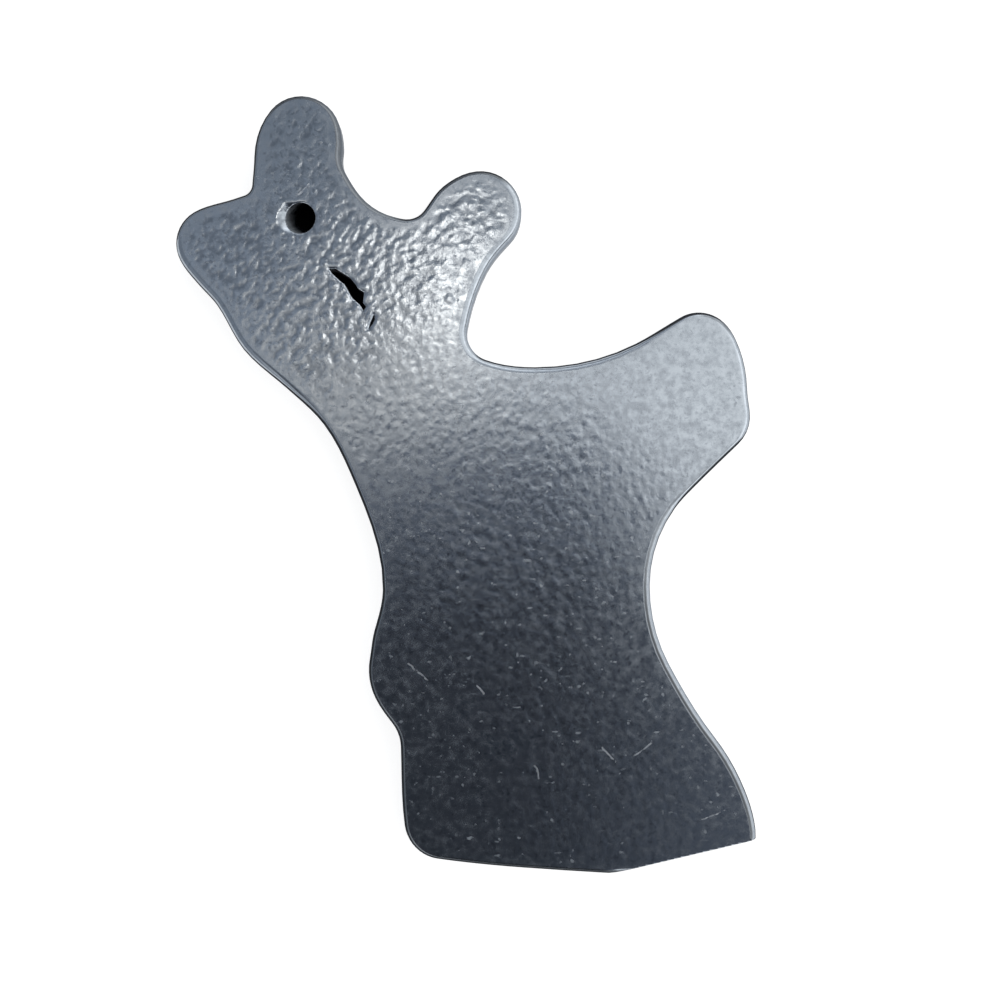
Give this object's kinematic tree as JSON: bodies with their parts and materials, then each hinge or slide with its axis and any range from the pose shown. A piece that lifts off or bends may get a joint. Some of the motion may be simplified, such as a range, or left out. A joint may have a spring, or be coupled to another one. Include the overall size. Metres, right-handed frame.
{
  "type": "flat cast reindeer ornament",
  "caption": "Flat cast metal reindeer ornament in outline, looking left, with rounded edges, a drilled eye for a hanging cord and a slit mouth.",
  "frame": {"origin": "under the middle of the plate's outline, on the flat back face that the plate lies on", "axes": "+Z out of the front face, +Y from the foot towards the antlers, +X from the muzzle towards the rump"},
  "size_m": [0.058, 0.0776, 0.0035],
  "materials": {
    "metal": "tumbled, satin and grainy, a little blue"
  },
  "bodies": {
    "root": {"reindeer_plate": "metal"}
  },
  "joints": []
}
